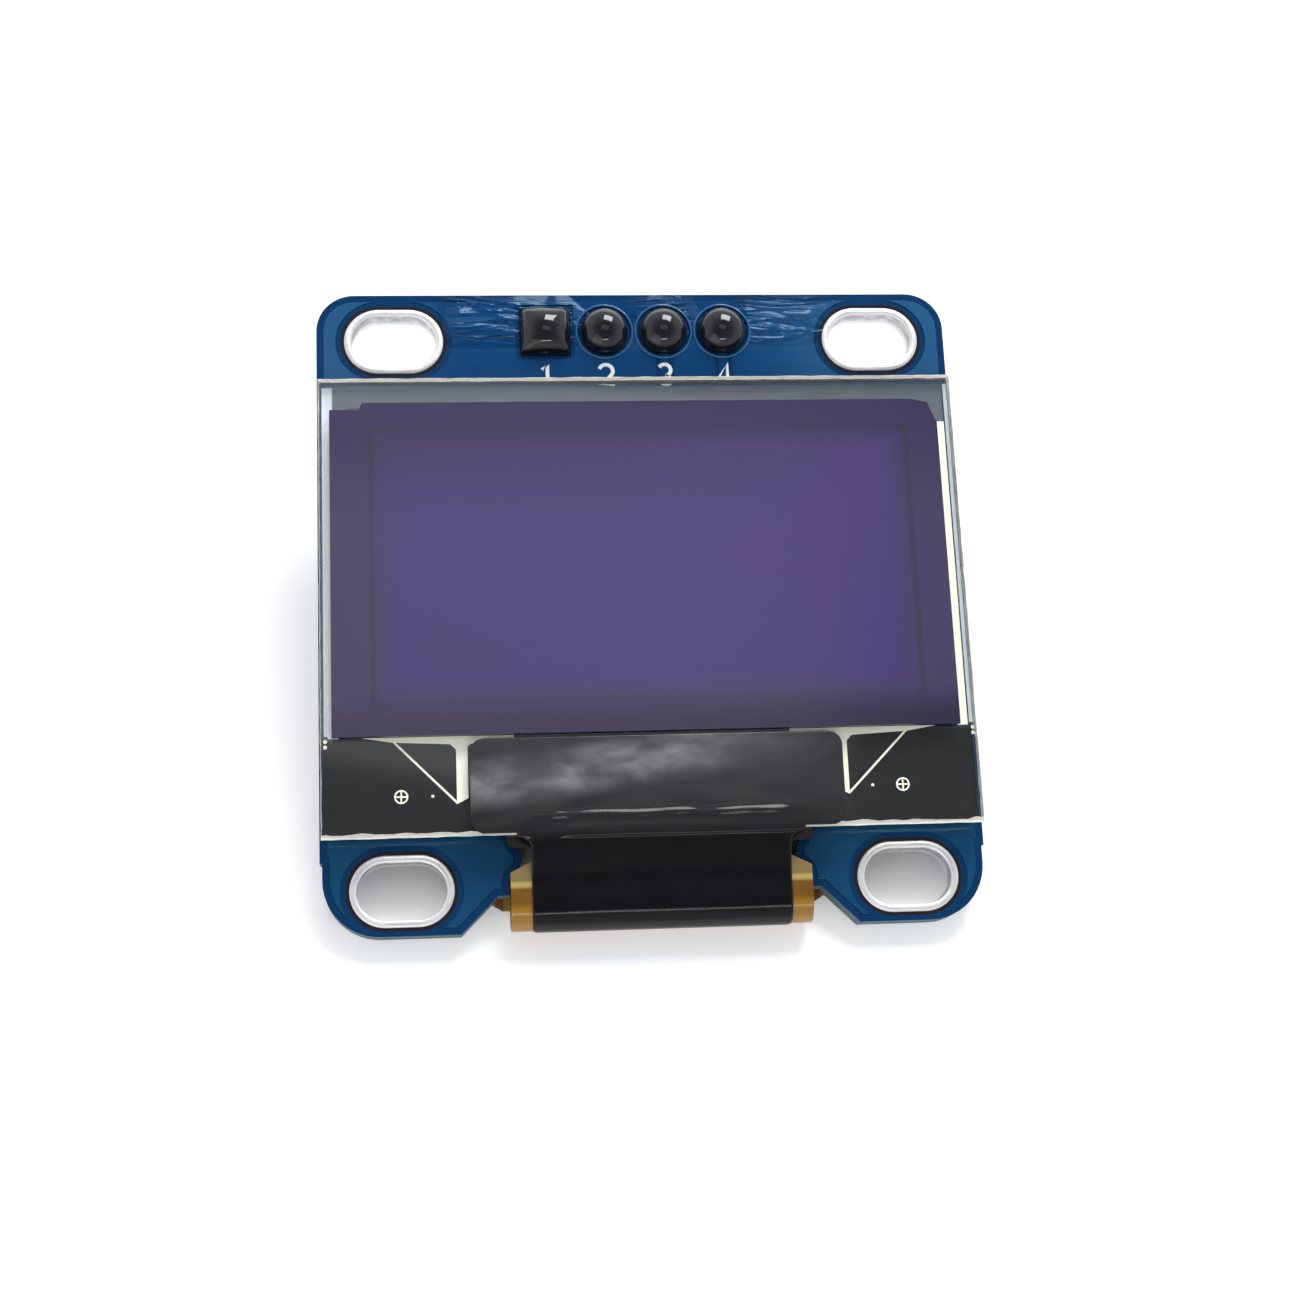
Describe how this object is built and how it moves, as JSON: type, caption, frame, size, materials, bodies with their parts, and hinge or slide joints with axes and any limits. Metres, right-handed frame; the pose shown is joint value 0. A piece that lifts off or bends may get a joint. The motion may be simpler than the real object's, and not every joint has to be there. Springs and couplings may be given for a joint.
{
  "type": "oled display module",
  "caption": "Small graphic display module: a glass panel with a folded flex tail on a slotted circuit board, with a rear pin header for power and data.",
  "frame": {"origin": "centre of the four mounting slots, on the front face of the circuit board", "axes": "+Z out of the display towards the viewer, +Y towards the pin header edge, +X to the viewer's right"},
  "size_m": [0.027, 0.0273, 0.0109],
  "materials": {
    "solder_mask": "glossy blue solder mask",
    "tin": "bright tin plating",
    "solder": "dark shiny solder",
    "contact_gold": "gold-flashed pin",
    "black_plastic": "black moulded plastic",
    "adhesive": "white foam tape",
    "rear_glass": "clear glass",
    "front_glass": "clear glass",
    "desiccant": "white drying sheet",
    "seal": "cured epoxy",
    "organic": "dark violet film stack",
    "electrode": "bright metal film",
    "polarizer": "violet film with a smooth surface",
    "silicon": "polished silicon",
    "polyimide": "amber film",
    "black_tape": "black satin film",
    "ceramic": "tan fired ceramic",
    "resistor_coat": "black glaze",
    "moulding": "black moulding compound"
  },
  "bodies": {
    "root": {"circuit_board": "solder_mask", "panel_adhesive": "adhesive", "cover_glass": "rear_glass", "desiccant": "desiccant", "edge_seal": "seal", "organic_layer": "organic", "electrode_traces": "electrode", "substrate_glass": "front_glass", "polarizer": "polarizer", "driver_chip": "silicon", "flex_tail": "polyimide", "tail_pads": "tin", "tail_solder": "tin", "shield_tape": "black_tape", "header_strip": "black_plastic", "rear_pads": "tin", "rear_solder": "tin", "chip_terminals": "tin", "regulator_body": "moulding", "regulator_leads": "tin", "diode_body": "moulding", "diode_leads": "tin", "slot_lining_1": "tin", "header_pad_1": "tin", "solder_joint_1": "solder", "header_pin_1": "contact_gold", "slot_lining_2": "tin", "header_pad_2": "tin", "solder_joint_2": "solder", "header_pin_2": "contact_gold", "slot_lining_3": "tin", "header_pad_3": "tin", "solder_joint_3": "solder", "header_pin_3": "contact_gold", "slot_lining_4": "tin", "header_pad_4": "tin", "solder_joint_4": "solder", "header_pin_4": "contact_gold", "capacitor_1": "ceramic", "capacitor_2": "ceramic", "capacitor_3": "ceramic", "capacitor_4": "ceramic", "capacitor_5": "ceramic", "resistor_1": "resistor_coat", "resistor_2": "resistor_coat", "resistor_3": "resistor_coat", "resistor_4": "resistor_coat", "resistor_5": "resistor_coat", "resistor_6": "resistor_coat"}
  },
  "joints": []
}
